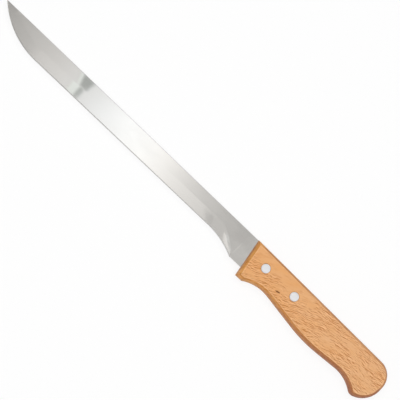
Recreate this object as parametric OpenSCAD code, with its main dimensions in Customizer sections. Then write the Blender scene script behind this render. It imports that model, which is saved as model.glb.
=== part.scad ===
// A slicing and carving knife: a stamped blade whose short tang is riveted into a slotted wooden handle.
// The knife lies on its side. X runs from the tip to the butt, Y from the cutting edge to the spine, Z up.
// Places along the knife are measured from the spine corner of the handle's front, where x = 0 and y = 0.
// Heights are measured downwards from the line of the blade's spine.

/* [Blade] */
// Length of the exposed blade along its spine
blade_len = 247.4; // [180:0.1:320]
// Thickness of the steel
blade_t = 1.5; // [1:0.1:2.5]
// Height of the blade where the straight edge meets the heel curve
heel_h = 17; // [14:0.1:20]
// Height of the blade where the straight edge meets the tip curve
tip_h = 17.8; // [14:0.1:24]
// Radius of the tip curve
tip_r = 63; // [45:1:90]
// Height of the blunt nose at the very tip
nose_h = 0.4; // [0.2:0.1:1]
// Radius of the curve from the straight edge down to the heel
heel_r = 60; // [30:1:90]
// Height of the unground steel in front of the handle
ricasso_h = 22.9; // [21:0.1:25]
// Length of that unground steel along its lower side, ahead of x = 0
ricasso_len = 7.5; // [4:0.1:14]

/* [Grind] */
// Width of the ground face above the sharpened edge
grind_w = 8; // [5:0.1:12]
// Thickness of the steel at the top of the sharpened edge
edge_t = 0.35; // [0.2:0.05:0.8]
// Height of the sharpened edge
edge_h = 0.7; // [0.4:0.1:1.5]
// Thickness left at the cutting edge itself
cut_t = 0.06; // [0.04:0.01:0.15]
// Length over which the ground face runs out at the heel
runout_len = 18.8; // [10:0.1:26]
// Height of the shallow step where the grinding wheel ran out
runout_h = 2.2; // [1:0.1:4]

/* [Handle] */
// Length of the handle from its front corner to the butt
handle_len = 137.1; // [115:0.1:150]
// Thickness of the handle between its flat faces
handle_t = 16.5; // [13:0.1:20]
// How far the rounded sides stand out beyond the flat faces
crown = 2.5; // [1:0.1:3.5]
// How far the handle stands proud of the blade's spine at its front
spine_proud = 0.3; // [0:0.1:1]
// Fall of the handle's spine from the front to the butt
spine_fall = 2.4; // [0:0.1:5]
// Angle that the front leans back from the spine to the belly
front_lean = 9; // [0:1:15]
// Height of the handle at the guard
guard_h = 29.5; // [27:0.1:32]
// Place of the waist behind the guard
waist_at = 27.6; // [24:0.1:34]
// Height of the handle at the waist
waist_h = 24.5; // [21:0.1:27]
// Radius of the scoop that forms the guard and the waist
waist_r = 31; // [22:0.5:40]
// Place of the bulge that fills the palm
bulge_at = 76.2; // [68:0.1:84]
// Height of the handle at the bulge
bulge_h = 30.1; // [28.5:0.1:33]
// Radius of the bulge
bulge_r = 118; // [60:1:160]
// Distance of the rest for the little finger ahead of the butt
rest_back = 32.7; // [28:0.1:38]
// Height of the handle at that rest
rest_h = 28.3; // [25:0.1:29.5]
// Radius of the rest
rest_r = 27.7; // [20:0.1:36]
// Radius of the hook behind the rest
hook_r = 5.2; // [4:0.1:8]
// Height that the butt's curve reaches down to
butt_drop = 35; // [32:0.1:38]
// Radius of the butt on the belly side
butt_r = 17.1; // [13:0.1:20]
// Radius of the butt on the spine side
butt_top_r = 13.3; // [8:0.1:16]

/* [Tang] */
// How far the tang's shoulder reaches into the handle at its lower corner
shoulder_in = 3; // [1:0.1:6]
// Height of the tang just behind the shoulder
tang_h = 19.4; // [17:0.1:20.5]
// Height of steel below the line of the rivets at the tang's end
tang_under = 5; // [3.5:0.1:7]
// Length of the tang behind the rear rivet
tang_tail = 14; // [8:0.5:24]
// Radius of the corners at the tang's end
tang_r = 4; // [2:0.1:7]
// Clearance of the tang in its slot on each side
slot_clear = 0.1; // [0.05:0.05:0.3]

/* [Rivets] */
// Distance of the front rivet behind the handle's front corner
rivet_at = 16.9; // [12:0.1:22]
// Spacing of the two rivets
rivet_pitch = 28.6; // [20:0.1:34]
// Depth of the rivets below the handle's spine
rivet_drop = 11.9; // [10:0.1:14]
// Diameter of a rivet's head
head_d = 6.8; // [6.4:0.1:9]
// Thickness of a rivet's head
head_t = 2.2; // [1.5:0.1:3]
// Outer diameter of the rivet's hollow half
sleeve_d = 4.8; // [4.2:0.1:5.6]
// Diameter of the rivet's solid half
stud_d = 3.2; // [2.4:0.1:3.4]
// Radial clearance of the rivets in the wood and the steel
rivet_clear = 0.08; // [0.02:0.01:0.2]
// Radial clearance of the solid half in the hollow half
stud_clear = 0.02; // [0.01:0.01:0.05]
// Gap that is left at the end of each rivet half when the rivet is closed
close_gap = 0.5; // [0.2:0.1:1]

/* [Hidden] */

steel = "#c6c7c5";
beech = "#dfa46c";
aluminium = "#e4e5e8";
fine = 0.02;    // the most that a chord may leave a curve
over = 1;       // how far a cut runs past what it cuts
runout_gap = 0.6;   // what stays between the sharpened edge and the runout at its end
runout_left = 0.1;  // share of the ground face's depth that is left there
mid_z = handle_t / 2;

// Curves

// Point at angle a on a circle
function on_circle(c, r, a) = c + r * [cos(a), sin(a)];

// Number of chords that keep an arc of r within fine over the given turn
function chords(r, turn) = max(2, ceil(abs(turn) / (2 * acos(1 - fine / r))));

// Points along an arc from angle a to angle b, both ends included
function arc(c, r, a, b) =
    let (n = chords(r, b - a))
    [for (i = [0:n]) on_circle(c, r, a + (b - a) * i / n)];

// The same points without the two ends, for an arc that touches its neighbours
function inner_arc(c, r, a, b) =
    let (n = chords(r, b - a))
    [for (i = [1:n - 1]) on_circle(c, r, a + (b - a) * i / n)];

// Direction from one point to another
function heading(p, q) = atan2(q[1] - p[1], q[0] - p[0]);

// Slope of the straight line that crosses between two circles side by side, one above it and one below
function cross_slope(c1, c2, r_sum) =
    let (dx = abs(c2[0] - c1[0]), dy = abs(c2[1] - c1[1]))
    atan2(dx, dy) - acos(min(1, r_sum / norm([dx, dy])));

// Largest radius of a bulge that still leaves a straight line between it and a hollow of radius r
function room_for(dx, dh, r) = (dx * dx + dh * dh) / (2 * dh) - r;

// Centre of a fillet that lies inside circle c1 of radius r1 and outside circle c2 of radius r2
function fillet_centre(c1, r1, c2, r2, r) =
    let (
        d = norm(c2 - c1),
        along = (d * d + pow(r1 - r, 2) - pow(r2 + r, 2)) / (2 * d),
        aside = sqrt(max(0, pow(r1 - r, 2) - along * along)),
        e = (c2 - c1) / d
    )
    c1 + along * e + aside * [-e[1], e[0]];

// Handle

function spine_y(x) = spine_proud - spine_fall * x / handle_len;

rest_at = handle_len - rest_back;
bulge_fit = min(
    bulge_r,
    room_for(bulge_at - waist_at, bulge_h - waist_h, waist_r),
    room_for(rest_at - bulge_at, bulge_h - rest_h, rest_r)
);
waist_c = [waist_at, -waist_h - waist_r];
bulge_c = [bulge_at, -bulge_h + bulge_fit];
rest_c = [rest_at, -rest_h - rest_r];
butt_c = [handle_len - butt_r, -butt_drop + butt_r];
spine_angle = atan(spine_fall / handle_len);
top_x = handle_len - butt_top_r;
top_c = [top_x, spine_y(top_x) - butt_top_r / cos(spine_angle)];
hook_c = fillet_centre(butt_c, butt_r, rest_c, rest_r, hook_r);
hook_start = heading(butt_c, hook_c);
hook_end = heading(hook_c, rest_c);
waist_slope = cross_slope(waist_c, bulge_c, waist_r + bulge_fit);
rest_slope = cross_slope(rest_c, bulge_c, rest_r + bulge_fit);
scoop_turn = acos(1 - (guard_h - waist_h) / waist_r);

// Outline of the handle in its middle plane, clockwise from the spine corner of the front
handle_outline = concat(
    [[0, spine_proud]],
    arc(top_c, butt_top_r, 90 - spine_angle, 0),
    arc(butt_c, butt_r, 0, hook_start),
    inner_arc(hook_c, hook_r, hook_start, hook_end),
    arc(rest_c, rest_r, hook_end + 180, 90 + rest_slope),
    arc(bulge_c, bulge_fit, rest_slope - 90, -90 - waist_slope),
    arc(waist_c, waist_r, 90 - waist_slope, 90 + scoop_turn),
    [[guard_h * tan(front_lean), -guard_h]]
);

function unit(p) = p / norm(p);
function right_of(p, q) = let (e = unit(q - p)) [e[1], -e[0]];

// A clockwise outline moved inwards by d, with its corners kept sharp
function inset(pts, d) =
    let (n = len(pts))
    [for (i = [0:n - 1])
        let (
            before = right_of(pts[(i + n - 1) % n], pts[i]),
            after = right_of(pts[i], pts[(i + 1) % n])
        )
        pts[i] + d * (before + after) / (1 + before * after)
    ];

// Solid through rings of equal length, each clockwise as seen from the last one
module skin(rings) {
    n = len(rings[0]);
    last = len(rings) - 1;
    walls = [for (k = [0:last - 1], i = [0:n - 1])
        let (j = (i + 1) % n)
        each [[k * n + i, k * n + j, k * n + n + j], [k * n + i, k * n + n + j, k * n + n + i]]
    ];
    start = [for (i = [n - 1:-1:0]) i];
    end = [for (i = [0:n - 1]) last * n + i];
    polyhedron(points = [for (ring = rings) each ring], faces = concat([start], walls, [end]), convexity = 6);
}

// Block of wood with sides that bulge between two flat faces, which cut off the last of the bulge
module handle_block() {
    side_r = (mid_z * mid_z + crown * crown) / (2 * crown);
    side_turn = asin((mid_z + over / 2) / side_r);
    levels = 11;
    rings = [for (k = [0:levels])
        let (
            a = side_turn * (2 * k / levels - 1),
            z = mid_z + side_r * sin(a),
            depth = side_r * (1 - cos(a))
        )
        [for (p = inset(handle_outline, depth)) [p[0], p[1], z]]
    ];
    intersection() {
        translate([-over, -butt_drop - over, 0]) cube([handle_len + 2 * over, butt_drop + 3 * over, handle_t]);
        skin(rings);
    }
}

// Tang

tang_end = rivet_at + rivet_pitch + tang_tail;
shoulder_x = ricasso_h * tan(front_lean) + shoulder_in;

function tang_top(x) = spine_y(x) - spine_proud;
function rivet_y(x) = spine_y(x) - rivet_drop;

// Outline of the tang from the shoulder back, grown by gap, with its top at the height top
module tang_outline(gap, top) {
    x2 = tang_end + gap;
    y2 = rivet_y(tang_end) - tang_under - gap;
    r = tang_r + gap;
    translate([x2 - r, y2 + r]) circle(r, $fn = 48);
    polygon([
        [shoulder_x, top],
        [x2 - r, tang_top(tang_end) + top],
        [x2, tang_top(tang_end) + top],
        [x2, y2 + r],
        [x2 - r, y2 + r],
        [x2 - r, y2],
        [shoulder_x, -tang_h - gap]
    ]);
}

// The slot is open along the spine and at the front
module slot() {
    translate([0, 0, mid_z - blade_t / 2 - slot_clear])
        linear_extrude(blade_t + 2 * slot_clear) {
            tang_outline(slot_clear, spine_proud + over);
            translate([-over, -ricasso_h - slot_clear])
                square([shoulder_x + slot_clear + over, ricasso_h + slot_clear + spine_proud + over]);
        }
}

// Blade

heel_x = -ricasso_len;
heel_drop = ricasso_h - heel_h;
heel_start = heel_x - sqrt(max(0, 2 * heel_r * heel_drop - heel_drop * heel_drop));
tip_rise = tip_r - tip_h + nose_h;
tip_end = -blade_len + sqrt(tip_r * tip_r - tip_rise * tip_rise);
runout_start = heel_x - runout_len;

// Height of the straight edge, and of the cutting edge with its curves at the tip and the heel
function straight_h(x) =
    heel_h + (tip_h - heel_h) * min(1, max(0, (heel_start - x) / (heel_start - tip_end)));
function blade_h(x) =
    x < tip_end ? tip_h - tip_r + sqrt(max(0, tip_r * tip_r - pow(x - tip_end, 2)))
    : x < heel_start ? straight_h(x)
    : heel_h + heel_r - sqrt(max(0, heel_r * heel_r - pow(x - heel_start, 2)));

// Half of the blade's section at x: height and half thickness, from the spine to the cutting edge
function half_section(x) =
    let (
        h = blade_h(x),
        sharp = h - min(edge_h, h / 3),
        ground = min(sharp, straight_h(x) - edge_h) - grind_w,
        wide = max(grind_w, sharp - ground),
        run = min(1, max(0, (x - runout_start) / runout_len)),
        shoulder = max(ground, sharp / 5) + run * (sharp - runout_gap - max(ground, 0)),
        step = shoulder + min(runout_h, (sharp - shoulder) / 2),
        half = blade_t / 2,
        left = 1 - (1 - runout_left) * run
    )
    [
        [0, half - cut_depth(0, sharp, wide)],
        [shoulder, run > 0 ? half : half - cut_depth(shoulder, sharp, wide)],
        [step, half - left * cut_depth(step, sharp, wide)],
        [sharp, half - left * cut_depth(sharp, sharp, wide)],
        [h, half - left * cut_depth(sharp, sharp, wide) - (edge_t - cut_t) / 2]
    ];

// Depth at height y of a face that is ground over the given width above the sharpened edge
function cut_depth(y, sharp, wide) = (blade_t - edge_t) / 2 * (1 - min(1, (sharp - y) / wide));

// Places of the sections: close together round the tip and along the heel
tip_turn = acos(tip_rise / tip_r);
heel_turn = asin((heel_x - heel_start) / heel_r);
tip_steps = 24;
heel_steps = 20;
stations = concat(
    [for (i = [0:tip_steps]) tip_end - tip_r * sin(tip_turn * (1 - i / tip_steps))],
    [for (i = [1:3]) tip_end + (min(heel_start, runout_start) - tip_end) * i / 4],
    [for (i = [0:heel_steps])
        let (start = min(heel_start, runout_start))
        start + (heel_x - start) * i / heel_steps
    ]
);

module ground_blade() {
    rings = [for (x = stations)
        let (half = half_section(x), n = len(half))
        concat(
            [for (i = [0:n - 1]) [x, -half[i][0], mid_z - half[i][1]]],
            [for (i = [n - 1:-1:0]) [x, -half[i][0], mid_z + half[i][1]]]
        )
    ];
    skin(rings);
}

// The steel that stays at its full thickness: the ricasso and the tang
module flat_steel() {
    translate([0, 0, mid_z - blade_t / 2])
        linear_extrude(blade_t) {
            tang_outline(0, 0);
            translate([heel_x, -ricasso_h]) square([shoulder_x - heel_x, ricasso_h]);
        }
}

// Rivets

rivets = [rivet_at, rivet_at + rivet_pitch];
sleeve_top = handle_t - head_t - close_gap;
stud_end = head_t + close_gap;

module at_rivet(x) {
    translate([x, rivet_y(x), 0]) children();
}

module upright(r, z1, z2) {
    translate([0, 0, z1]) cylinder(h = z2 - z1, r = r, $fn = 64);
}

// Hole for a rivet through the wood, with a seat for the head on each face
module rivet_bore() {
    upright(sleeve_d / 2 + rivet_clear, -over, handle_t + over);
    upright(head_d / 2 + rivet_clear, -over, head_t);
    upright(head_d / 2 + rivet_clear, handle_t - head_t, handle_t + over);
}

// Solid half, with its head on the upper face
module rivet_stud() {
    color(aluminium) {
        upright(head_d / 2, handle_t - head_t, handle_t);
        upright(stud_d / 2, stud_end, handle_t - head_t);
    }
}

// Hollow half, with its head on the lower face
module rivet_sleeve() {
    color(aluminium)
        difference() {
            union() {
                upright(head_d / 2, 0, head_t);
                upright(sleeve_d / 2, head_t, sleeve_top);
            }
            upright(stud_d / 2 + stud_clear, head_t, sleeve_top + over);
        }
}

// Parts

// Puts the centre of the knife's outline over the origin
module placed() {
    low_y = hook_c[1] - hook_r;
    translate([(blade_len - handle_len) / 2, -(spine_proud + low_y) / 2, 0]) children();
}

module blade() {
    color(steel)
        placed()
            difference() {
                union() {
                    ground_blade();
                    flat_steel();
                }
                for (x = rivets)
                    at_rivet(x) upright(sleeve_d / 2 + rivet_clear, -over, handle_t + over);
            }
}

module handle() {
    color(beech)
        placed()
            difference() {
                handle_block();
                slot();
                for (x = rivets)
                    at_rivet(x) rivet_bore();
            }
}

module front_rivet_stud() { placed() at_rivet(rivets[0]) rivet_stud(); }
module front_rivet_sleeve() { placed() at_rivet(rivets[0]) rivet_sleeve(); }
module rear_rivet_stud() { placed() at_rivet(rivets[1]) rivet_stud(); }
module rear_rivet_sleeve() { placed() at_rivet(rivets[1]) rivet_sleeve(); }

blade();
handle();
front_rivet_stud();
front_rivet_sleeve();
rear_rivet_stud();
rear_rivet_sleeve();
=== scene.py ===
import math

import bmesh
import bpy
from mathutils import Matrix, Vector


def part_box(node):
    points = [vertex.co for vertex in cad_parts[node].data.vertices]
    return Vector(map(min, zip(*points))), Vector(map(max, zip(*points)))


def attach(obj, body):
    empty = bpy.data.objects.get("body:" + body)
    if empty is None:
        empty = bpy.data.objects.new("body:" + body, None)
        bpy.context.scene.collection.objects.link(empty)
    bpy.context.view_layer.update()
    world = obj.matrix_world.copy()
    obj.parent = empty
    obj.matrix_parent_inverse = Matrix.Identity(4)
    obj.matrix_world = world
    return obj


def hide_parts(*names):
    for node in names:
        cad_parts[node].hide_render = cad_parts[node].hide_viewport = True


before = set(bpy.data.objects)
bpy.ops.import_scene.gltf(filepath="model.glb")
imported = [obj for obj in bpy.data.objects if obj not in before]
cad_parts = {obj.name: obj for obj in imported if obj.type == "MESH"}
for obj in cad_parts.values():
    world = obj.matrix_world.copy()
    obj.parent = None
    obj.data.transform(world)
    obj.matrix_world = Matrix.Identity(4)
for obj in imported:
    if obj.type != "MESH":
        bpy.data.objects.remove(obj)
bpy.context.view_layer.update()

mm = 0.001
bladeLow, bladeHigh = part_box("blade")
handleLow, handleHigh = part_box("handle")
midZ = (handleLow.z + handleHigh.z) / 2 / mm
handleThick = (handleHigh.z - handleLow.z) / mm

# The knife is drawn in millimetres from the spine corner of the handle's front.
# x runs back to the butt, y up to the spine, and y = 0 is the line of the blade's spine.
bladeLength = 247.4
cornerX = bladeLow.x / mm + bladeLength
cornerY = bladeHigh.y / mm


def toFrame(x, y, z):
    return ((x + cornerX) * mm, (y + cornerY) * mm, z * mm)


# Mesh code that the pieces share


def onCircle(centre, radius, degrees):
    a = math.radians(degrees)
    return (centre[0] + radius * math.cos(a), centre[1] + radius * math.sin(a))


# Points on an arc, from one angle to the other and no further apart than the chord
def arcPoints(centre, radius, start, end, chord=0.8):
    steps = max(3, math.ceil(abs(math.radians(end - start)) * radius / chord))
    return [onCircle(centre, radius, start + (end - start) * i / steps) for i in range(steps + 1)]


def headingTo(p, q):
    return math.degrees(math.atan2(q[1] - p[1], q[0] - p[0]))


def makePiece(name, points, faces):
    mesh = bpy.data.meshes.new(name)
    mesh.from_pydata([toFrame(*p) for p in points], [], faces)
    mesh.validate()
    piece = bpy.data.objects.new(name, mesh)
    bpy.context.scene.collection.objects.link(piece)
    return piece


# Closed skin over rings with the same number of points
def skinRings(name, rings):
    count = len(rings[0])
    faces = []
    for k in range(len(rings) - 1):
        for i in range(count):
            j = (i + 1) % count
            a, b = k * count, (k + 1) * count
            faces.append((a + i, a + j, b + j, b + i))
    last = (len(rings) - 1) * count
    faces.append(tuple(reversed(range(count))))
    faces.append(tuple(last + i for i in range(count)))
    piece = makePiece(name, [p for ring in rings for p in ring], faces)
    outwards(piece)
    return piece


# Joins points that are closer together than so many millimetres, and turns every face outwards
def outwards(piece, together=0.0001):
    shape = bmesh.new()
    shape.from_mesh(piece.data)
    bmesh.ops.remove_doubles(shape, verts=shape.verts, dist=together * mm)
    bmesh.ops.recalc_face_normals(shape, faces=shape.faces)
    shape.to_mesh(piece.data)
    shape.free()


# Turned piece round an upright axis, from (radius, z) points that start and end on the axis
def turnProfile(name, profile, x, y, segments=96):
    points = []
    faces = []
    rows = []
    for radius, z in profile:
        if radius == 0:
            rows.append([len(points)])
            points.append((x, y, z))
        else:
            rows.append([len(points) + i for i in range(segments)])
            for i in range(segments):
                a = 2 * math.pi * i / segments
                points.append((x + radius * math.cos(a), y + radius * math.sin(a), z))
    for low, high in zip(rows, rows[1:]):
        for i in range(segments):
            j = (i + 1) % segments
            loop = [low[i % len(low)], low[j % len(low)], high[j % len(high)], high[i % len(high)]]
            faces.append(tuple(dict.fromkeys(loop)))
    piece = makePiece(name, points, faces)
    outwards(piece)
    return piece


def bakeModifiers(piece):
    shown = piece.evaluated_get(bpy.context.evaluated_depsgraph_get())
    mesh = bpy.data.meshes.new_from_object(shown)
    piece.modifiers.clear()
    piece.data = mesh


def easeEdges(piece, width, segments, degrees):
    bevel = piece.modifiers.new("ease", "BEVEL")
    bevel.width = width * mm
    bevel.segments = segments
    bevel.limit_method = "ANGLE"
    bevel.angle_limit = math.radians(degrees)
    bevel.use_clamp_overlap = False
    bakeModifiers(piece)
    outwards(piece, together=0.06)      # closes the bevel's shortest edges


def cutAway(piece, cutters):
    for cutter in cutters:
        cut = piece.modifiers.new("cut", "BOOLEAN")
        cut.operation = "DIFFERENCE"
        cut.solver = "EXACT"
        cut.object = cutter
        bakeModifiers(piece)
        bpy.data.objects.remove(cutter)


# Smooth over gentle turns, crisp over sharp ones and round the faces that are dead flat
def shadePiece(piece, degrees, flatNormals=()):
    mesh = piece.data
    mesh.shade_smooth()
    shape = bmesh.new()
    shape.from_mesh(mesh)
    limit = math.radians(degrees)
    alike = 0.99999     # cosine of the angle up to which a face counts as dead flat
    for edge in shape.edges:
        if len(edge.link_faces) != 2:
            continue
        a, b = (face.normal for face in edge.link_faces)
        border = any((a.dot(flat) > alike) != (b.dot(flat) > alike) for flat in flatNormals)
        if a.angle(b, 0) > limit or border:
            edge.smooth = False
    shape.to_mesh(mesh)
    shape.free()


def dress(piece, materials, slot, *nodes):
    piece.data.materials.clear()
    for material in materials:
        piece.data.materials.append(material)
    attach(piece, "root")
    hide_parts(*nodes)


# Material code that the finishes share


# A new node. An input is set to a value, or linked where another node's output is given.
def addNode(tree, kind, inputs=None, **settings):
    made = tree.nodes.new("ShaderNode" + kind)
    for key, value in settings.items():
        setattr(made, key, value)
    for key, value in (inputs or {}).items():
        if isinstance(value, bpy.types.NodeSocket):
            tree.links.new(value, made.inputs[key])
        else:
            made.inputs[key].default_value = value
    return made


def mathNode(tree, operation, a, b=0.0, clamp=False):
    return addNode(tree, "Math", {0: a, 1: b}, operation=operation, use_clamp=clamp).outputs[0]


def plus(tree, a, b):
    return mathNode(tree, "ADD", a, b)


def minus(tree, a, b):
    return mathNode(tree, "SUBTRACT", a, b)


def times(tree, a, b):
    return mathNode(tree, "MULTIPLY", a, b)


def larger(tree, a, b):
    return mathNode(tree, "MAXIMUM", a, b)


def vectorMath(tree, operation, a, b=(0, 0, 0), out="Vector"):
    return addNode(tree, "VectorMath", {0: a, 1: b}, operation=operation).outputs[out]


# Sockets 6 and 7, and output 2, are the Mix node's colours
def mixColour(tree, factor, a, b, blend="MIX"):
    made = addNode(tree, "Mix", {0: factor, 6: a, 7: b}, data_type="RGBA", blend_type=blend)
    return made.outputs[2]


# Rises softly from the least to the most while the value runs from the span's first number to its second
def remap(tree, value, span, most=1.0, least=0.0):
    inputs = {0: value, 1: span[0], 2: span[1], 3: least, 4: most}
    return addNode(tree, "MapRange", inputs, interpolation_type="SMOOTHSTEP").outputs[0]


# Soft noise over a place in millimetres, whose features have the given size along x, y and z
def noise(tree, place, size, detail=2, roughness=0.5, turn=0, shift=(0, 0, 0)):
    inputs = {"Vector": place, "Location": shift, "Rotation": (0, 0, math.radians(turn))}
    moved = addNode(tree, "Mapping", inputs).outputs[0]
    scaled = vectorMath(tree, "MULTIPLY", moved, tuple(1 / s for s in size))
    inputs = {"Vector": scaled, "Scale": 1, "Detail": detail, "Roughness": roughness}
    return addNode(tree, "TexNoise", inputs).outputs[0]


def addRelief(tree, shader, height, strength, depth):
    bump = addNode(tree, "Bump", {"Strength": strength, "Distance": depth * mm, "Height": height})
    tree.links.new(bump.outputs[0], shader.inputs["Normal"])


def srgb(r, g, b):
    def toLinear(v):
        v /= 255
        return v / 12.92 if v <= 0.04045 else ((v + 0.055) / 1.055) ** 2.4
    return (toLinear(r), toLinear(g), toLinear(b), 1)


# A new material, and its place on the piece in millimetres
def newMaterial(name, **sockets):
    material = bpy.data.materials.new(name)
    material.use_nodes = True
    tree = material.node_tree
    shader = tree.nodes["Principled BSDF"]
    for key, value in sockets.items():
        shader.inputs[key].default_value = value
    where = addNode(tree, "TexCoord").outputs["Object"]
    inMm = addNode(tree, "VectorMath", {0: where, "Scale": 1 / mm}, operation="SCALE").outputs[0]
    return material, tree, shader, inMm


# The handle, its slot and its holes

handle = {
    "length": handleHigh.x / mm - cornerX,
    "crown": 2.5,           # how far the rounded sides stand out beyond the flat faces
    "spineProud": 0.3,      # above the blade's spine at the front
    "spineFall": 2.4,       # from the front to the butt
    "frontLean": 9,         # degrees
    "guardHeight": 29.5,
    "waistAt": 27.6, "waistHeight": 24.5, "waistRadius": 31,
    "bulgeAt": 76.2, "bulgeHeight": 30.1, "bulgeRadius": 118,
    "restBack": 32.7, "restHeight": 28.3, "restRadius": 27.7,
    "hookRadius": 5.2,
    "buttDrop": 35, "buttRadius": 17.1, "buttTopRadius": 13.3,
    "easedBy": 0.45,        # the sanded creases
    "easeSteps": 3, "easeOver": 40,     # the crease's facets, and the turn in degrees from which it is sanded
    "levels": 18,           # rings from face to face
    "smoothUnder": 32,      # degrees
}

tang = {
    "shoulderIn": 3, "height": 19.4, "under": 5, "tail": 14, "radius": 4,
    "shoulderStep": 0.05,   # along x, in which the shoulder drops to the tang
    "tailSteps": 8,
    "slotClear": 0.1,
    "cutterReach": 3,       # of the rivets' holes, from the middle of the steel
}

rivets = {
    "at": (16.9, 45.5), "drop": 11.9,
    "headWide": 6.8, "headThick": 2.2, "sleeveWide": 4.8, "studWide": 3.2,
    "clear": 0.08, "boreClear": 0.02, "closeGap": 0.5,
    "rim": 0.22,            # eased rim of a head
    "rimPoints": ((1.6, 0), (1, 0.04), (0.3, 0.3), (0, 1)),     # inwards and down, in shares of the rim
    "dish": 0.07,           # how far a head's middle lies below its rim
    "dishPoints": ((0, 1), (0.45, 0.8), (0.75, 0.35)),          # shares of the radius and of the dish
    "studChamfer": 0.3, "lipWide": 0.15, "lipLong": 0.2,        # eased ends of the two shanks
    "countersink": 0.16,    # the wood's rim round a head
    "smoothUnder": 40,      # degrees
}

beyond = {"slot": 5, "holes": 1}        # how far their cutters stand out of the wood


def spineY(x):
    return handle["spineProud"] - handle["spineFall"] * x / handle["length"]


# Slope of the line that touches two circles from opposite sides
def crossSlope(c1, c2, radii):
    dx, dy = abs(c2[0] - c1[0]), abs(c2[1] - c1[1])
    return math.degrees(math.atan2(dx, dy) - math.acos(min(1, radii / math.hypot(dx, dy))))


# Centre of a fillet inside circle c1 and outside circle c2
def filletCentre(c1, r1, c2, r2, r):
    d = math.dist(c1, c2)
    along = (d * d + (r1 - r) ** 2 - (r2 + r) ** 2) / (2 * d)
    aside = math.sqrt(max(0, (r1 - r) ** 2 - along * along))
    ex, ey = (c2[0] - c1[0]) / d, (c2[1] - c1[1]) / d
    return (c1[0] + along * ex - aside * ey, c1[1] + along * ey + aside * ex)


# Outline in the middle plane, clockwise from the spine corner of the front
def handleOutline():
    h = handle
    waistC = (h["waistAt"], -h["waistHeight"] - h["waistRadius"])
    bulgeC = (h["bulgeAt"], -h["bulgeHeight"] + h["bulgeRadius"])
    restC = (h["length"] - h["restBack"], -h["restHeight"] - h["restRadius"])
    buttC = (h["length"] - h["buttRadius"], -h["buttDrop"] + h["buttRadius"])
    fall = math.atan(h["spineFall"] / h["length"])
    topX = h["length"] - h["buttTopRadius"]
    topC = (topX, spineY(topX) - h["buttTopRadius"] / math.cos(fall))
    hookC = filletCentre(buttC, h["buttRadius"], restC, h["restRadius"], h["hookRadius"])
    hookStart, hookEnd = headingTo(buttC, hookC), headingTo(hookC, restC)
    waistSlope = crossSlope(waistC, bulgeC, h["waistRadius"] + h["bulgeRadius"])
    restSlope = crossSlope(restC, bulgeC, h["restRadius"] + h["bulgeRadius"])
    scoopTurn = math.degrees(math.acos(1 - (h["guardHeight"] - h["waistHeight"]) / h["waistRadius"]))
    outline = [(0, h["spineProud"])]
    outline += arcPoints(topC, h["buttTopRadius"], 90 - math.degrees(fall), 0)
    outline += arcPoints(buttC, h["buttRadius"], 0, hookStart)
    outline += arcPoints(hookC, h["hookRadius"], hookStart, hookEnd)[1:-1]
    outline += arcPoints(restC, h["restRadius"], hookEnd + 180, 90 + restSlope)
    outline += arcPoints(bulgeC, h["bulgeRadius"], restSlope - 90, -90 - waistSlope, chord=1.6)
    outline += arcPoints(waistC, h["waistRadius"], 90 - waistSlope, 90 + scoopTurn)
    outline.append((h["guardHeight"] * math.tan(math.radians(h["frontLean"])), -h["guardHeight"]))
    return outline


# A clockwise outline moved inwards, with its corners kept
def insetOutline(outline, d):
    moved = []
    count = len(outline)
    for i, p in enumerate(outline):
        sides = []
        for a, b in ((outline[i - 1], p), (p, outline[(i + 1) % count])):
            length = math.dist(a, b)
            sides.append(((b[1] - a[1]) / length, (a[0] - b[0]) / length))
        (ux, uy), (vx, vy) = sides
        share = d / (1 + ux * vx + uy * vy)
        moved.append((p[0] + share * (ux + vx), p[1] + share * (uy + vy)))
    return moved


def tangTop(x):
    return spineY(x) - handle["spineProud"]


def rivetY(x):
    return spineY(x) - rivets["drop"]


def tangEnd():
    return rivets["at"][1] + tang["tail"]


def shoulderX():
    return blade["ricassoHeight"] * math.tan(math.radians(handle["frontLean"])) + tang["shoulderIn"]


# Outline of the slot: the tang's own outline and its clearance, open to the front and along the spine
def slotOutline():
    gap, out = tang["slotClear"], beyond["slot"]
    end = tangEnd() + gap
    floor = rivetY(tangEnd()) - tang["under"] - gap
    radius = tang["radius"] + gap
    corner = arcPoints((end - radius, floor + radius), radius, 0, -90, chord=0.5)
    step = shoulderX() + gap
    return [(-out, out), (end, out)] + corner + [
        (step, -tang["height"] - gap),
        (step, -blade["ricassoHeight"] - gap),
        (-out, -blade["ricassoHeight"] - gap),
    ]


# The slot for the tang, and a stepped hole for each rivet
def handleCutters():
    outline = slotOutline()
    gap = blade["thickness"] / 2 + tang["slotClear"]
    slot = skinRings("slotCutter", [[(x, y, midZ + z) for x, y in outline] for z in (-gap, gap)])
    shank = rivets["sleeveWide"] / 2 + rivets["clear"]
    seat = rivets["headWide"] / 2 + rivets["clear"]
    sink, depth, out, top = rivets["countersink"], rivets["headThick"], beyond["holes"], handleThick
    mouth = seat + sink + out
    profile = [
        (0, -out), (mouth, -out), (seat, sink), (seat, depth), (shank, depth),
        (shank, top - depth), (seat, top - depth), (seat, top - sink), (mouth, top + out), (0, top + out),
    ]
    return [slot] + [turnProfile("boreCutter", profile, x, rivetY(x)) for x in rivets["at"]]


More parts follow.
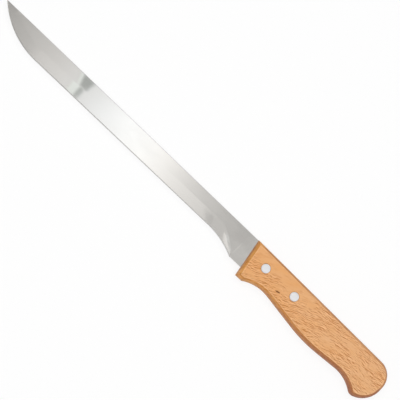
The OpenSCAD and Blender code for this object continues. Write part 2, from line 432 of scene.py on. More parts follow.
def makeHandle(materials):
    half = handleThick / 2
    sideRadius = (half ** 2 + handle["crown"] ** 2) / (2 * handle["crown"])
    turn = math.asin(half / sideRadius)
    outline = handleOutline()
    rings = []
    for k in range(handle["levels"] + 1):
        a = turn * (2 * k / handle["levels"] - 1)
        inset = insetOutline(outline, sideRadius * (1 - math.cos(a)))
        rings.append([(x, y, midZ + sideRadius * math.sin(a)) for x, y in inset])
    piece = skinRings("beechHandle", rings)
    easeEdges(piece, handle["easedBy"], handle["easeSteps"], handle["easeOver"])
    cutAway(piece, handleCutters())
    shadePiece(piece, handle["smoothUnder"], (Vector((0, 0, 1)), Vector((0, 0, -1))))
    dress(piece, materials, "beech", "handle")


# The blade, with the ricasso and the tang

blade = {
    "thickness": 1.5,
    "heelHeight": 17, "heelRadius": 60,
    "tipHeight": 17.8, "tipRadius": 63, "noseHeight": 0.4,
    "ricassoHeight": 22.9, "ricassoLength": 7.5,
    "grindWidth": 8,
    "edgeThickness": 0.35, "edgeHeight": 0.7, "cutThickness": 0.06,
    "runoutLength": 18.8, "runoutHeight": 2.2,
    "runoutKeeps": 0.1,     # share of the grind's depth that is left at the end of the runout
    "runoutShort": 0.6,     # how far above the honed edge the runout's shoulder stops
    "heelStep": 0.3,        # along x, in which the ground face steps up to the ricasso
    "easedBy": 0.28,        # the corners of the spine
    "easedMiddle": 0.3,     # where the middle of such a corner lies, as a share of its width
    "tipSteps": 56, "straightSteps": 16, "heelSteps": 48,
    "smoothUnder": 2.5,     # degrees
    "sideUnder": 0.8,       # a face whose normal looks up less than this is a sawn side
    "honedUnder": 0.995,    # and one below the grind that looks up less than this is the honed edge
    "honedShare": 0.9,      # of the edge's height, for telling its faces
}


def bladeFacts():
    b = blade
    drop = b["ricassoHeight"] - b["heelHeight"]
    rise = b["tipRadius"] - b["tipHeight"] + b["noseHeight"]
    heelX = -b["ricassoLength"]
    return {
        "heelX": heelX,
        "heelStart": heelX - math.sqrt(2 * b["heelRadius"] * drop - drop * drop),
        "tipRise": rise,
        "tipEnd": -bladeLength + math.sqrt(b["tipRadius"] ** 2 - rise ** 2),
        "runoutStart": heelX - b["runoutLength"],
    }


facts = bladeFacts()


def straightHeight(x):
    share = (facts["heelStart"] - x) / (facts["heelStart"] - facts["tipEnd"])
    return blade["heelHeight"] + (blade["tipHeight"] - blade["heelHeight"]) * min(1, max(0, share))


# How far a circle has left its tangent
def leaving(radius, along):
    return radius - math.sqrt(max(0, radius ** 2 - along ** 2))


def bladeHeight(x):
    if x < facts["tipEnd"]:
        return blade["tipHeight"] - leaving(blade["tipRadius"], x - facts["tipEnd"])
    if x < facts["heelStart"]:
        return straightHeight(x)
    return blade["heelHeight"] + leaving(blade["heelRadius"], x - facts["heelStart"])


# The eased corner of the spine and the full thickness after it
def spineCorner(top, half, ease):
    middle = ease * blade["easedMiddle"]
    return [(top, half - ease), (top + middle, half - middle), (top + ease, half)]


# Heights and half thicknesses from the spine to the cutting edge. Near the tip, where little height is left,
# every part of the section keeps to a share of it.
def groundSection(x):
    b = blade
    h = bladeHeight(x)
    sharp = h - min(b["edgeHeight"], h / 3)
    ground = min(sharp, straightHeight(x) - b["edgeHeight"]) - b["grindWidth"]
    wide = max(b["grindWidth"], sharp - ground)
    run = min(1, max(0, (x - facts["runoutStart"]) / b["runoutLength"]))

    def thick(y):
        return b["edgeThickness"] + (b["thickness"] - b["edgeThickness"]) * min(1, (sharp - y) / wide)

    def half(y):
        kept = 1 - (1 - b["runoutKeeps"]) * run
        return b["thickness"] / 2 - kept * (b["thickness"] - thick(y)) / 2

    shoulder = max(ground, sharp / 5) + run * (sharp - b["runoutShort"] - max(ground, 0))
    step = shoulder + min(b["runoutHeight"], (sharp - shoulder) / 2)
    shoulderHalf = b["thickness"] / 2 if run > 0 else half(shoulder)
    spineHalf = half(0)
    edgeDepth = (b["edgeThickness"] - b["cutThickness"]) / 2
    ease = min(b["easedBy"], shoulder / 2, spineHalf / 2)
    return spineCorner(0, spineHalf, ease) + [
        (shoulder, shoulderHalf), (step, half(step)), (sharp, half(sharp)), (h, half(sharp) - edgeDepth),
    ]


# The same number of points for steel at its full thickness
def flatSection(top, bottom):
    half, ease = blade["thickness"] / 2, blade["easedBy"]
    third = (bottom - top) / 3
    return spineCorner(top, half, ease) + [
        (top + third, half), (top + 2 * third, half), (bottom - ease, half), (bottom, half - ease),
    ]


def bladeRing(x, section):
    return [(x, -y, midZ - t) for y, t in section] + [(x, -y, midZ + t) for y, t in reversed(section)]


# Places along the ground blade, close together round the tip and at the heel
def groundPlaces():
    b, tipEnd, heelX = blade, facts["tipEnd"], facts["heelX"]
    start = min(facts["heelStart"], facts["runoutStart"])
    tipTurn = math.acos(facts["tipRise"] / b["tipRadius"])
    turns = [tipTurn * (1 - i / b["tipSteps"]) for i in range(b["tipSteps"] + 1)]
    places = [tipEnd - b["tipRadius"] * math.sin(turn) for turn in turns]
    places += [tipEnd + (start - tipEnd) * i / b["straightSteps"] for i in range(1, b["straightSteps"])]
    places += [start + (heelX - start) * i / b["heelSteps"] for i in range(b["heelSteps"] + 1)]
    return places


# The ricasso and the tang: places along the knife, and the steel's upper and lower height there
def flatPlaces():
    shoulder, end, radius = shoulderX(), tangEnd(), tang["radius"]
    floor = -rivetY(end) + tang["under"]
    places = [
        (facts["heelX"] + blade["heelStep"], 0, blade["ricassoHeight"]),
        (0, 0, blade["ricassoHeight"]),
        (shoulder, -tangTop(shoulder), blade["ricassoHeight"]),
        (shoulder + tang["shoulderStep"], -tangTop(shoulder), tang["height"]),
    ]
    for i in range(tang["tailSteps"] + 1):
        a = math.radians(90 * i / tang["tailSteps"])
        x = end - radius + radius * math.sin(a)
        places.append((x, -tangTop(x), floor - radius + radius * math.cos(a)))
    return places


def makeBlade(materials):
    rings = [bladeRing(x, groundSection(x)) for x in groundPlaces()]
    rings += [bladeRing(x, flatSection(top, bottom)) for x, top, bottom in flatPlaces()]
    piece = skinRings("carvingBlade", rings)
    hole = rivets["sleeveWide"] / 2 + rivets["clear"]
    low, high = midZ - tang["cutterReach"], midZ + tang["cutterReach"]
    profile = [(0, low), (hole, low), (hole, high), (0, high)]
    cutAway(piece, [turnProfile("tangCutter", profile, x, rivetY(x)) for x in rivets["at"]])
    shadePiece(piece, blade["smoothUnder"])
    dress(piece, materials, "steel", "blade")
    paintBladeFaces(piece)


# Flat of the blade 0, honed edge 1, spine and the other sawn sides 2
def paintBladeFaces(piece):
    edge = blade["edgeHeight"] * blade["honedShare"]
    for face in piece.data.polygons:
        x, y = face.center.x / mm - cornerX, face.center.y / mm - cornerY
        up = abs(face.normal.z)
        if up < blade["sideUnder"]:
            face.material_index = 2
        elif x < facts["heelX"] and -y > bladeHeight(x) - edge and up < blade["honedUnder"]:
            face.material_index = 1
        else:
            face.material_index = 0


# The rivets, each a solid half pressed into a hollow one


def headProfile(low, high, outer):
    rim, dish = rivets["rim"], rivets["dish"]
    points = [(outer * r, high - dish * z) for r, z in rivets["dishPoints"]]
    points += [(outer - rim * r, high - rim * z) for r, z in rivets["rimPoints"]]
    return points + [(outer, low)]


def makeRivet(name, materials, x):
    head, stud, sleeve = rivets["headWide"] / 2, rivets["studWide"] / 2, rivets["sleeveWide"] / 2
    thick, gap, chamfer = rivets["headThick"], rivets["closeGap"], rivets["studChamfer"]
    lip, lipLong = rivets["lipWide"], rivets["lipLong"]
    bore = stud + rivets["boreClear"]
    under = handleThick - thick
    top = under - gap
    profile = headProfile(under, handleThick, head)
    studProfile = profile + [
        (stud, under), (stud, thick + gap + chamfer), (stud - chamfer, thick + gap), (0, thick + gap),
    ]
    sleeveProfile = [(r, handleThick - z) for r, z in profile] + [
        (sleeve, thick), (sleeve, top - lipLong), (sleeve - lip, top),
        (bore + lip, top), (bore, top - lip), (bore, thick), (0, thick),
    ]
    for part, points in (("Stud", studProfile), ("Sleeve", sleeveProfile)):
        piece = turnProfile(name + part, points, x, rivetY(x))
        shadePiece(piece, rivets["smoothUnder"])
        dress(piece, materials, "rivet_aluminium", name + "_rivet_" + part.lower())


# The wood's finish. A span gives where an effect starts and where it is full.

beechLook = {
    "honey": srgb(229, 167, 106),
    "pale": srgb(230, 180, 133),
    "fleck": srgb(184, 110, 44),
    # light is the colour of the painted highlights, beside each fleck and along the creases
    "light": srgb(250, 205, 156),
    "endGrain": srgb(200, 126, 56),
    "sideGrain": srgb(188, 126, 88),
    "sideFleck": srgb(140, 76, 38),
    "pore": srgb(98, 48, 16),
    "palerAlong": (10, 130), "palerShare": 0.55,    # span along x
    "cloudGain": 1.6, "cloudLess": 0.6,
    "riseFront": 0.5, "riseButt": 0.0,      # how steeply the flecks climb towards the spine
    "bendSway": 6.0, "rippleSway": 1.5,     # how far they stray from it, in millimetres
    "fleckSizes": ((5.0, 1.0, 5.0), (2.7, 0.64, 3.5)),     # length, width and depth in millimetres
    "fleckAmounts": (0.85, 0.72),
    "fleckDetail": 1.5, "fleckApart": 31,   # fineness of both noises, and the shift from one to the other
    "darkStep": (0.045, 0.15), "highlightStep": (-0.04, -0.2), "highlightShare": 0.5,
    "patches": (0.35, 0.6), "patchLeast": 0.45,
    "manyRear": (42, 78), "manyLow": (-8, -15), "fewest": 0.32,     # spans along x and along y
    "sideFacing": (0.85, 0.5),              # how far a face looks up, 1 for straight up
    "litFront": (1.18, 1.25, 1.06, 1),     # painted light: how much lighter the front and the lower side by it are
    "shadedButt": (0.78, 0.68, 0.72, 1),      # and painted shade: how much darker the lower side is near the butt
    "sideLightAlong": (15, 115), "lowerSide": (-12, -22), "frontFace": (8, 5),
    "creaseHighlightFrom": (0.66, 0.80), "creaseHighlightTo": (0.985, 0.94), "creaseHighlightShare": 0.45,     # the painted highlight along the creases, by how far a face looks up
    "headShade": (0.6, 0.1), "headShadeShare": 0.35,      # the painted shade in the seam round a rivet head, beyond its rim
    "roughness": 0.45, "fibreRoughness": 0.2, "shine": 0.22,
    "fibreHeight": 0.4, "relief": 0.1, "reliefDepth": 0.05,
}

# Size of each noise in millimetres along x, y and z, and its own fineness, roughness and shift
beechNoise = {
    "bend": {"size": (26, 20, 12)},
    "ripple": {"size": (5, 4, 8), "detail": 1, "shift": (7, 3, 1)},
    "cloud": {"size": (22, 7, 9), "detail": 3, "roughness": 0.6, "shift": (5, 5, 5)},
    "curl": {"size": (8, 2.2, 9), "shift": (40, 0, 0)},
    "fibre": {"size": (7.0, 0.28, 0.45), "detail": 3, "roughness": 0.65},
    "patch": {"size": (16, 8, 9), "shift": (3, 9, 2)},
    "band": {"size": (34, 9, 2.4), "detail": 3, "roughness": 0.6, "shift": (0, 0, 11)},
    "dash": {"size": (4.6, 6, 0.42), "roughness": 0.6, "shift": (0, 0, 23)},
}

# The span in which each of these comes in, and how much of it there is at most
beechMarks = {
    "curl": ((0.5, 0.75), 0.4),         # darker curly bands
    "fibre": ((0.4, 0.7), 0.13),        # fine fibres along the run
    "leaning": ((0.80, 0.55), 0.8),     # by how far a face looks up
    "upright": ((0.50, 0.25), 0.8),
    "band": ((0.42, 0.66), 0.5),        # honey bands on the sides
    "dash": ((0.52, 0.7), 0.7),         # dark dashes on the sides
}

poreMark = {
    "x": 34.4, "y": -18.1, "length": 4.8, "width": 1.15,
    "turn": 16,             # degrees
    "fade": (1.0, 0.55),    # share of its half length at which it starts and is full
    "upperSide": (12, 15),  # span along z
}


# How far the run of the flecks has climbed at x, which bends it from front to butt
def fleckRun(tree, x):
    look = beechLook
    bend = (look["riseButt"] - look["riseFront"]) / (2 * handle["length"])
    return plus(tree, times(tree, x, look["riseFront"]), times(tree, times(tree, x, x), bend))


# A place on the wood in knife millimetres, and the same with y taken across the swaying run of the flecks
def woodPlace(tree, spot):
    look = beechLook
    spot = vectorMath(tree, "SUBTRACT", spot, tuple(v / mm for v in toFrame(0, 0, 0)))
    x, y, z = addNode(tree, "SeparateXYZ", {0: spot}).outputs
    bend = times(tree, noise(tree, spot, **beechNoise["bend"]), look["bendSway"])
    ripple = times(tree, noise(tree, spot, **beechNoise["ripple"]), look["rippleSway"])
    across = minus(tree, plus(tree, y, plus(tree, bend, ripple)), fleckRun(tree, x))
    run = addNode(tree, "CombineXYZ", {0: x, 1: across, 2: z}).outputs[0]
    flat = addNode(tree, "CombineXYZ", {0: x, 1: y}).outputs[0]
    return {"spot": spot, "x": x, "y": y, "z": z, "run": run, "flat": flat}


# Honey at the front, paler towards the butt, with soft clouds
def broadTone(tree, wood):
    look = beechLook
    cloud = times(tree, noise(tree, wood["run"], **beechNoise["cloud"]), look["cloudGain"])
    paler = times(tree, remap(tree, wood["x"], look["palerAlong"]), look["palerShare"])
    tone = mathNode(tree, "ADD", paler, minus(tree, cloud, look["cloudLess"]), clamp=True)
    return mixColour(tree, tone, look["honey"], look["pale"])


# Dark ray flecks of the grain, each with a painted highlight beside it as if lit from one side, few of them
# between the rivets and the spine
def rayFlecksAndHighlights(tree, wood, colour):
    look = beechLook
    patch = noise(tree, wood["spot"], **beechNoise["patch"])
    patch = remap(tree, patch, look["patches"], least=look["patchLeast"])
    many = larger(tree, remap(tree, wood["x"], look["manyRear"]), remap(tree, wood["y"], look["manyLow"]))
    many = plus(tree, times(tree, many, 1 - look["fewest"]), look["fewest"])
    amount = times(tree, patch, many)
    relief = 0.0
    for i, (size, share) in enumerate(zip(look["fleckSizes"], look["fleckAmounts"])):
        apart, aside = look["fleckApart"] * i, size[1] / 2
        here = noise(tree, wood["run"], size, look["fleckDetail"], shift=(apart, 0, 0))
        beside = noise(tree, wood["run"], size, look["fleckDetail"], shift=(apart, aside, 0))
        step = times(tree, minus(tree, here, beside), amount)
        dark = remap(tree, step, look["darkStep"], share)
        # the pale line beside each dark fleck is a painted highlight
        light = remap(tree, step, look["highlightStep"], share * look["highlightShare"])
        colour = mixColour(tree, dark, colour, look["fleck"])
        colour = mixColour(tree, light, colour, look["light"])
        relief = larger(tree, relief, dark)
    return colour, relief


# Sides and ends take the oil deeper, with painted light and shade on the sides (lighter at the front, darker
# low near the butt) and a painted highlight along the sanded creases
def oiledSidesAndPaintedLight(tree, wood, colour):
    look = beechLook
    normal = addNode(tree, "NewGeometry").outputs["Normal"]
    facing = mathNode(tree, "ABSOLUTE", addNode(tree, "SeparateXYZ", {0: normal}).outputs[2])
    colour = mixColour(tree, remap(tree, facing, *beechMarks["leaning"]), colour, look["endGrain"])
    colour = mixColour(tree, remap(tree, facing, *beechMarks["upright"]), colour, look["sideGrain"])
    onSide = remap(tree, facing, look["sideFacing"])
    for name, paint in (("band", "honey"), ("dash", "sideFleck")):
        mark = remap(tree, noise(tree, wood["run"], **beechNoise[name]), *beechMarks[name])
        colour = mixColour(tree, times(tree, mark, onSide), colour, look[paint])
    # painted light and shade: the sides lighter at the front and darker low towards the butt
    paintedSideLight = mixColour(tree, remap(tree, wood["x"], look["sideLightAlong"]), look["litFront"], look["shadedButt"])
    where = larger(tree, remap(tree, wood["y"], look["lowerSide"]), remap(tree, wood["x"], look["frontFace"]))
    colour = mixColour(tree, times(tree, onSide, where), colour, paintedSideLight, "MULTIPLY")
    # painted highlight along the eased creases of the flat faces
    creaseHighlight = times(tree, remap(tree, facing, look["creaseHighlightFrom"]), remap(tree, facing, look["creaseHighlightTo"]))
    return mixColour(tree, times(tree, creaseHighlight, look["creaseHighlightShare"]), colour, look["light"])


# Painted shade: a thin dark line in the seam where each rivet head meets the wood
def paintedHeadShade(tree, wood, colour):
    look = beechLook
    line = [rivets["headWide"] / 2 + gap for gap in look["headShade"]]
    for x in rivets["at"]:
        away = vectorMath(tree, "DISTANCE", wood["flat"], (x, rivetY(x), 0), "Value")
        colour = mixColour(tree, remap(tree, away, line, look["headShadeShare"]), colour, look["fleck"])
    return colour


# The one deep pore below the rear rivet
def deepPore(tree, wood):
    away = vectorMath(tree, "SUBTRACT", wood["flat"], (poreMark["x"], poreMark["y"], 0))
    turn = (0, 0, math.radians(-poreMark["turn"]))
    turned = addNode(tree, "Mapping", {"Vector": away, "Rotation": turn}).outputs[0]
    scaled = vectorMath(tree, "MULTIPLY", turned, (2 / poreMark["length"], 2 / poreMark["width"], 0))
    reach = vectorMath(tree, "LENGTH", scaled, out="Value")
    return times(tree, remap(tree, reach, poreMark["fade"]), remap(tree, wood["z"], poreMark["upperSide"]))


def makeBeech():
    look = beechLook
    material, tree, shader, spot = newMaterial("oiledBeech")
    wood = woodPlace(tree, spot)
    curl = noise(tree, wood["run"], **beechNoise["curl"])
    fibre = noise(tree, wood["run"], **beechNoise["fibre"])
    colour = broadTone(tree, wood)
    colour = mixColour(tree, remap(tree, curl, *beechMarks["curl"]), colour, look["endGrain"])
    colour = mixColour(tree, remap(tree, fibre, *beechMarks["fibre"]), colour, look["endGrain"])
    colour, relief = rayFlecksAndHighlights(tree, wood, colour)
    colour = oiledSidesAndPaintedLight(tree, wood, colour)
    colour = paintedHeadShade(tree, wood, colour)
    pore = deepPore(tree, wood)
    colour = mixColour(tree, pore, colour, look["pore"])
    rough = plus(tree, times(tree, fibre, look["fibreRoughness"]), look["roughness"])
    tree.links.new(colour, shader.inputs["Base Color"])
    tree.links.new(rough, shader.inputs["Roughness"])
    shader.inputs["Specular IOR Level"].default_value = look["shine"]
    height = minus(tree, times(tree, fibre, look["fibreHeight"]), larger(tree, relief, pore))
    addRelief(tree, shader, height, look["relief"], look["reliefDepth"])
    return material


# The metals' finishes. A grain gives the length of a grinding mark along x, y and z in millimetres.

steelLook = {
    "colour": (0.822, 0.795, 0.757, 1),
    "finishes": (           # name, roughness, grain and depth of the marks in millimetres
        ("polishedSteel", 0.12, (0.12, 6.0, 6.0), 0.002),
        ("honedSteel", 0.3, (0.05, 1.0, 1.0), 0.004),
        ("groundSpine", 0.36, (0.2, 4.0, 4.0), 0.01),
    ),
    "plainShare": 0.7, "markShare": 0.35, "smudgeShare": 0.2,   # of the roughness
    "smudgeSize": (30, 14, 30), "smudges": (0.4, 0.7),
    "relief": 0.2,
}

aluminiumLook = {
    "colour": (0.97, 0.96, 0.97, 1),
    "roughness": 0.26, "markRoughness": 0.16,
    "grain": (3.0, 0.12, 3.0), "turn": 12,  # degrees
    "relief": 0.3, "depth": 0.01,           # millimetres
}

markDetail = {"detail": 3, "roughness": 0.6}


def makeSteel(name, roughness, grain, depth):
    look = steelLook
    material, tree, shader, spot = newMaterial(name, Metallic=1.0)
    shader.inputs["Base Color"].default_value = look["colour"]
    marks = noise(tree, spot, grain, **markDetail)
    smudge = remap(tree, noise(tree, spot, look["smudgeSize"], **markDetail), look["smudges"])
    rough = plus(tree, times(tree, marks, roughness * look["markShare"]), roughness * look["plainShare"])
    rough = plus(tree, rough, times(tree, smudge, roughness * look["smudgeShare"]))
    tree.links.new(rough, shader.inputs["Roughness"])
    addRelief(tree, shader, marks, look["relief"], depth)
    return material


def makeAluminium():
    look = aluminiumLook
    material, tree, shader, spot = newMaterial("groundAluminium", Metallic=1.0)
    shader.inputs["Base Color"].default_value = look["colour"]
    marks = noise(tree, spot, look["grain"], turn=look["turn"], **markDetail)
    rough = plus(tree, times(tree, marks, look["markRoughness"]), look["roughness"])
    tree.links.new(rough, shader.inputs["Roughness"])
    addRelief(tree, shader, marks, look["relief"], look["depth"])
    return material


steel = [makeSteel(*finish) for finish in steelLook["finishes"]]
beech = makeBeech()
aluminium = makeAluminium()
print("finishes made")

makeBlade(steel)
print("blade ground")
makeHandle([beech])
print("handle shaped, slotted and bored")
for x, name in zip(rivets["at"], ("front", "rear")):
    makeRivet(name, [aluminium], x)
print("rivets turned")

# Camera, floor, room and lamp

studio = {
    "away": 2.6,                # metres from the knife to the camera
    "pixel": 0.7125,            # millimetres of knife for each pixel of the picture
    "pixels": 400,              # across the picture
    "sensor": 36,               # millimetres
    "farthest": 50,             # metres that the camera sees
    "aimX": -50.3, "aimY": -8.1,    # what lies in the middle of the picture, in knife millimetres
    "tiltBelly": 7.0,           # degrees that the camera leans towards the cutting edge
    "tiltTip": 3.7,             # and towards the tip
    "roll": 43.79,              # degrees that the knife's line falls across the picture
    "ambient": 0.42,            # how bright the room lights the knife, which seen or mirrored is white
    "lamp": 9.6,                # watts
    "lampSize": 0.9, "lampHeight": 1.2,     # metres
    "floorReach": 4, "floorDrop": 0.0003,   # metres, from the middle to a side and below the knife
    "floorWhite": 0.96,
    "floorGlow": 0.86,          # share of glow in what the camera sees of the floor
}


def makeCamera():
    s = studio
    target = Vector(toFrame(s["aimX"], s["aimY"], midZ))
    tip, belly = math.radians(s["tiltTip"]), math.radians(s["tiltBelly"])
    lean = Vector((-math.tan(tip), -math.tan(belly), 1)).normalized()
    alongX = (Vector((1, 0, 0)) - lean * lean.x).normalized()
    alongY = lean.cross(alongX)
    a = math.radians(s["roll"])
    right = alongX * math.cos(a) + alongY * math.sin(a)
    up = alongY * math.cos(a) - alongX * math.sin(a)
    eye = target + lean * s["away"]
    data = bpy.data.cameras.new("camera")
    data.sensor_width = s["sensor"]
    data.lens = s["sensor"] / (s["pixels"] * s["pixel"] * mm / s["away"])
    data.clip_end = s["farthest"]
    camera = bpy.data.objects.new("camera", data)
    bpy.context.scene.collection.objects.link(camera)
    rows = [(right[i], up[i], lean[i], eye[i]) for i in range(3)]
    camera.matrix_world = Matrix(rows + [(0, 0, 0, 1)])
    bpy.context.scene.camera = camera


def stagePiece(name, corners):
    mesh = bpy.data.meshes.new(name)
    mesh.from_pydata(corners, [], [tuple(range(len(corners)))])
    piece = bpy.data.objects.new(name, mesh)
    bpy.context.scene.collection.objects.link(piece)
    return piece


# Glowing white in the steel and mostly so to the camera, and a plain pale floor for all other light
def makeFloor():
    reach, drop, white = studio["floorReach"], studio["floorDrop"], studio["floorWhite"]
    corners = ((-reach, -reach), (reach, -reach), (reach, reach), (-reach, reach))
    floor = stagePiece("floor", [(x, y, -drop) for x, y in corners])
    material = bpy.data.materials.new("paleFloor")
    material.use_nodes = True
    tree = material.node_tree
    tree.nodes.clear()
    path = addNode(tree, "LightPath").outputs
    mirroredRay = larger(tree, path["Is Glossy Ray"], path["Is Transmission Ray"])
    plain = addNode(tree, "BsdfDiffuse", {"Color": (white, white, white, 1)})
    bright = addNode(tree, "Emission", {"Color": (1, 1, 1, 1), "Strength": 1.0})
    glow = larger(tree, times(tree, path["Is Camera Ray"], studio["floorGlow"]), mirroredRay)
    both = addNode(tree, "MixShader", {0: glow, 1: plain.outputs[0], 2: bright.outputs[0]})
    tree.links.new(both.outputs[0], addNode(tree, "OutputMaterial").inputs[0])
    floor.data.materials.append(material)


def makeWorld():
    world = bpy.data.worlds.new("room")
    bpy.context.scene.world = world
    world.use_nodes = True
    tree = world.node_tree
    tree.nodes.clear()
    path = addNode(tree, "LightPath").outputs
    seenRay = larger(tree, path["Is Camera Ray"], path["Is Glossy Ray"])
    seenRay = larger(tree, seenRay, path["Is Transmission Ray"])
    strength = plus(tree, times(tree, seenRay, 1 - studio["ambient"]), studio["ambient"])
    light = addNode(tree, "Background", {"Color": (1, 1, 1, 1), "Strength": strength})
    tree.links.new(light.outputs[0], addNode(tree, "OutputWorld").inputs[0])


def makeLamp():
    data = bpy.data.lights.new("softLamp", "AREA")
    data.shape = "SQUARE"
    data.size = studio["lampSize"]
    data.energy = studio["lamp"]
    lamp = bpy.data.objects.new("softLamp", data)
    bpy.context.scene.collection.objects.link(lamp)
    lamp.location = (0.0, 0.0, studio["lampHeight"])
    lamp.visible_camera = False
    lamp.visible_glossy = False


# What the polished steel mirrors: soft cards overhead, graded along the knife, between darker side cards.
# A stop is a place on the blade in knife millimetres, and how bright its card is where it shows there.
# Other heights and lengths are in metres.
mirrored = {
    "height": 1.2,
    "flatStops": (              # in the flat of the blade
        (-370, 0.47), (-335, 0.49), (-318, 0.52), (-301, 0.60), (-281, 0.63), (-264, 0.58), (-248, 0.46),
        (-226, 0.52), (-205, 0.66), (-180, 0.79), (-160, 0.88), (-140, 1.17), (-112, 1.42), (-90, 1.22),
        (-72, 0.91), (-54, 0.65), (-40, 0.54), (-28, 0.54), (-12, 0.48), (-4, 0.43), (8, 0.47),
        (20, 0.86), (36, 0.96),
    ),
    "groundStops": (            # in the ground face below it
        (-370, 0.43), (-335, 0.44), (-318, 0.46), (-301, 0.50), (-281, 0.53), (-264, 0.55), (-248, 0.55),
        (-226, 0.57), (-205, 0.71), (-180, 0.82), (-160, 0.88), (-140, 1.17), (-112, 1.42), (-90, 1.21),
        (-72, 0.93), (-54, 0.82), (-37, 0.82), (-28, 0.60), (-12, 0.42), (-4, 0.40), (8, 0.46), (20, 0.70),
    ),
    "edgeStops": (              # in the honed edge
        (-300, 0.32), (-240, 0.28), (-215, 0.30), (-160, 0.30), (-140, 0.44), (-120, 0.95),
        (-100, 1.50), (-82, 1.40), (-68, 0.90), (-52, 0.40), (-40, 0.34),
    ),
    "edgeSide": -0.20, "middle": 0.065, "spineSide": 0.30,      # where the cards meet
    "pastTip": 0.3, "pastHandle": 0.4,
    "lap": 0.01,                # how far the honed edge's card laps over the next one, and hangs above it
    "edgeReach": 1.5,           # how far out it goes
    "spineGap": 0.25, "spineReach": 1.4,    # where the dark card beside the spine's starts and ends
    "besideSpine": 0.34,        # its grey
    "headroom": 1.1,            # the cards' full brightness over their brightest stop
    "coolStretch": (-175, -100),    # where the steel mirrors a bluer light, on the blade in knife millimetres
    "coolness": 0.04,
    "ring": 1.5,                # radius of the grey screen round the table
    "ringFoot": 0.02, "ringTop": 1.05,
    "ringParts": 32,
    "ringSides": 0.74, "ringMiddle": 0.60,
    "ringCool": (0, 0),         # its middle stop alone is bluer
}

# The dark stand that the blade mirrors near its tip, as it lies on the blade in knife millimetres
mirroredStand = {
    "height": 0.06,             # metres
    "darkFlat": 0.46, "darkGround": 0.48, "pale": 0.98,
    "tint": (0.935, 1.0, 0.995),
    "flat": ((-171.8, 0.5), (-160.7, 0.5), (-162.1, -8.6), (-168.6, -8.6)),
    "ground": ((-167.8, -8.4), (-163.6, -8.4), (-163.6, -18.5), (-167.4, -18.5)),
    "besideFlat": ((-174.4, 0.5), (-171.8, 0.5), (-168.6, -8.6), (-171.4, -8.6)),
    "besideGround": ((-174.2, -8.4), (-167.8, -8.4), (-167.4, -18.5), (-173.8, -18.5)),
    # grey cards low over the blade, which the hollow at the heel mirrors: its upper rim and its floor,
    # each with a height in metres, and the tilt and turn in degrees of the steel that mirrors it
    "rim": ((-32, -5), (-23, -5), (-2, -25), (-12, -25)),
    "rimHeight": 0.12, "rimTilt": 6.2, "rimTurn": 33, "rimGrey": 0.54,
    "hollow": ((-33, -7), (-25, -7), (-22.5, -13.5), (-17, -18.5), (-30, -18.5)),
    "hollowHeight": 0.06, "hollowTilt": 3.4, "hollowTurn": 20, "hollowGrey": 0.62,
}


# Where a card has to hang, at that height, to show in the steel at a place on the knife
def mirrorPlace(x, y, height, tilt=0.0, turn=0.0):
    eye = bpy.context.scene.camera.location
    spot = Vector(toFrame(x, y, midZ + blade["thickness"] / 2))
    view = (spot - eye).normalized()
    lean, way = math.radians(tilt), math.radians(turn)
    normal = Vector((-math.sin(way) * math.sin(lean), -math.cos(way) * math.sin(lean), math.cos(lean)))
    away = view - 2 * view.dot(normal) * normal
    return spot + away * ((height - spot.z) / away.z)


def onlyMirrored(thing):
    thing.visible_camera = False
    thing.visible_diffuse = False
    thing.visible_shadow = False
    thing.visible_transmission = False
    thing.visible_volume_scatter = False


def glowing(name, grey, strength=1, tint=(1, 1, 1)):
    material = bpy.data.materials.new(name)
    material.use_nodes = True
    tree = material.node_tree
    tree.nodes.clear()
    colour = tuple(grey * part for part in tint) + (1,)
    glow = addNode(tree, "Emission", {"Color": colour, "Strength": strength})
    tree.links.new(glow.outputs[0], addNode(tree, "OutputMaterial").inputs[0])
    return material


def hangCard(name, corners, material):
    card = stagePiece(name, corners)
    card.data.materials.append(material)
    onlyMirrored(card)


# Grey along x, from (place, brightness) pairs in metres, and bluer at the stops in the cool stretch
def gradedGlow(name, stops, coolStretch):
    brightest = mirrored["headroom"] * max(bright for _, bright in stops)
    low, high = stops[0][0], stops[-1][0]
    material = glowing(name, 1, brightest)
    tree = material.node_tree
    where = addNode(tree, "SeparateXYZ", {0: addNode(tree, "TexCoord").outputs["Object"]}).outputs[0]
    share = addNode(tree, "MapRange", {0: where, 1: low, 2: high}).outputs[0]
    ramp = addNode(tree, "ValToRGB", {0: share})
    ramp.color_ramp.interpolation = "EASE"
    points = ramp.color_ramp.elements
    while len(points) < len(stops):
        points.new(0.5)         # its place follows
    for point, (place, bright) in zip(points, stops):
        point.position = (place - low) / (high - low)
        grey = bright / brightest
        cool = mirrored["coolness"] if coolStretch[0] <= place <= coolStretch[1] else 0
        point.color = (grey * (1 - cool), grey, grey * (1 + cool), 1)
    tree.links.new(ramp.outputs[0], tree.nodes["Emission"].inputs["Color"])
    return material


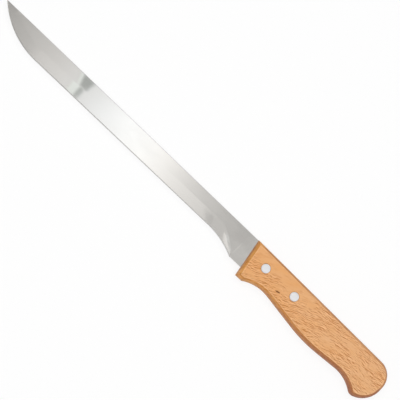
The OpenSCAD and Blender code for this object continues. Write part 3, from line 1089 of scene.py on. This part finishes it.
def hangCards():
    m = mirrored
    height, edge, middle, spine = m["height"], m["edgeSide"], m["middle"], m["spineSide"]

    def cardX(x):
        return mirrorPlace(x, 0, height).x

    def graded(name, stops):
        return gradedGlow(name, [(cardX(x), bright) for x, bright in stops], cool)

    cool = [cardX(x) for x in m["coolStretch"]]
    low, high = cardX(m["flatStops"][0][0]) - m["pastTip"], cardX(m["flatStops"][-1][0]) + m["pastHandle"]
    honed = graded("edgeSideCard", m["edgeStops"])
    dark = glowing("spineSideCard", m["besideSpine"])
    for name, near, far, up, material in (
        ("flatCard", middle, spine, 0, graded("flatCard", m["flatStops"])),
        ("groundCard", edge, middle, 0, graded("groundCard", m["groundStops"])),
        ("edgeSideCard", edge + m["lap"], edge - m["edgeReach"], m["lap"], honed),
        ("spineSideCard", spine + m["spineGap"], spine + m["spineReach"], 0, dark),
    ):
        corners = ((low, near), (high, near), (high, far), (low, far))
        hangCard(name, [(x, y, height + up) for x, y in corners], material)


def standRing():
    m = mirrored
    radius, foot, top, parts = m["ring"], m["ringFoot"], m["ringTop"], m["ringParts"]
    stops = [(-radius, m["ringSides"]), (0, m["ringMiddle"]), (radius, m["ringSides"])]
    material = gradedGlow("ringScreen", stops, m["ringCool"])
    for i in range(parts):
        (ax, ay), (bx, by) = (onCircle((0, 0), radius, 360 * (i + k) / parts) for k in (0, 1))
        hangCard("ringScreen", [(ax, ay, foot), (bx, by, foot), (bx, by, top), (ax, ay, top)], material)


def hangStand():
    s = mirroredStand
    tilt = math.degrees(math.atan((blade["thickness"] - blade["edgeThickness"]) / 2 / blade["grindWidth"]))
    for part, lean, grey in (
        ("flat", 0, "darkFlat"),
        ("ground", tilt, "darkGround"),
        ("besideFlat", 0, "pale"),
        ("besideGround", tilt, "pale"),
    ):
        corners = [mirrorPlace(x, y, s["height"], lean) for x, y in s[part]]
        hangCard(part + "Stand", corners, glowing(part + "Stand", s[grey], tint=s["tint"]))
    for part in ("rim", "hollow"):
        height, lean, turn, grey = (s[part + word] for word in ("Height", "Tilt", "Turn", "Grey"))
        corners = [mirrorPlace(x, y, height, lean, turn) for x, y in s[part]]
        hangCard(part + "Card", corners, glowing(part + "Card", grey))


bpy.context.scene.view_settings.view_transform = "Standard"
makeCamera()
makeFloor()
makeWorld()
makeLamp()
hangCards()
standRing()
hangStand()
print("studio set")
